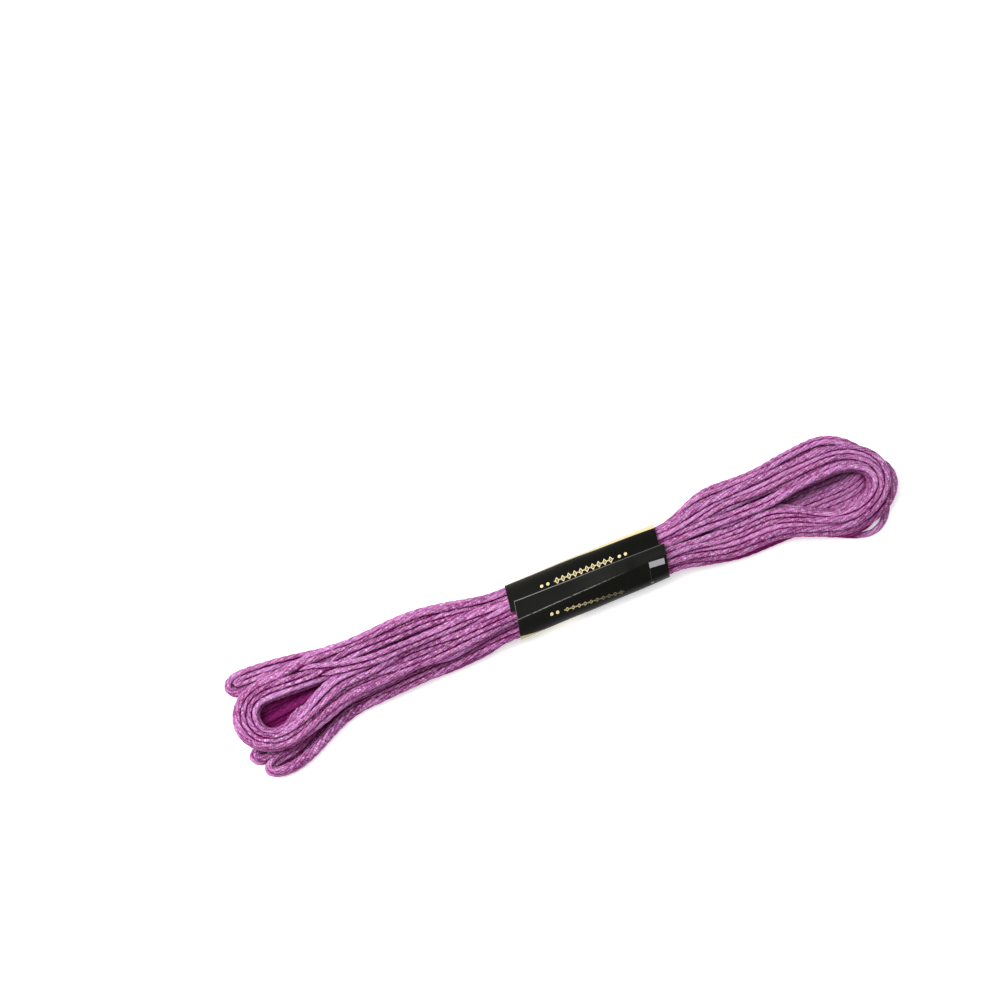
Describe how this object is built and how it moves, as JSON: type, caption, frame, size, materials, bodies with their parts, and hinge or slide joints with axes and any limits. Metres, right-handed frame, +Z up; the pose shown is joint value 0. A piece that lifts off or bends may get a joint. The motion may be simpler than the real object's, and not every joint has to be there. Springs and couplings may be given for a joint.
{
  "type": "skein of stranded embroidery floss in a paper band",
  "caption": "Flat pulled skein of orchid stranded cotton, folded back on itself into soft loops at both ends and held at the waist by a black paper band.",
  "frame": {"origin": "under the middle of the bounding box, on the surface that the skein lies on", "axes": "+X along the skein, towards its broad loop; +Y across it; +Z up; -Y is the front edge, where the band's flap goes down"},
  "size_m": [0.1608, 0.0274, 0.0076],
  "materials": {
    "orchid_cotton": "mercerised, softly glossy",
    "black_paper": "satin, printed in gold"
  },
  "bodies": {
    "root": {"skein": "orchid_cotton", "band": "black_paper"}
  },
  "joints": []
}
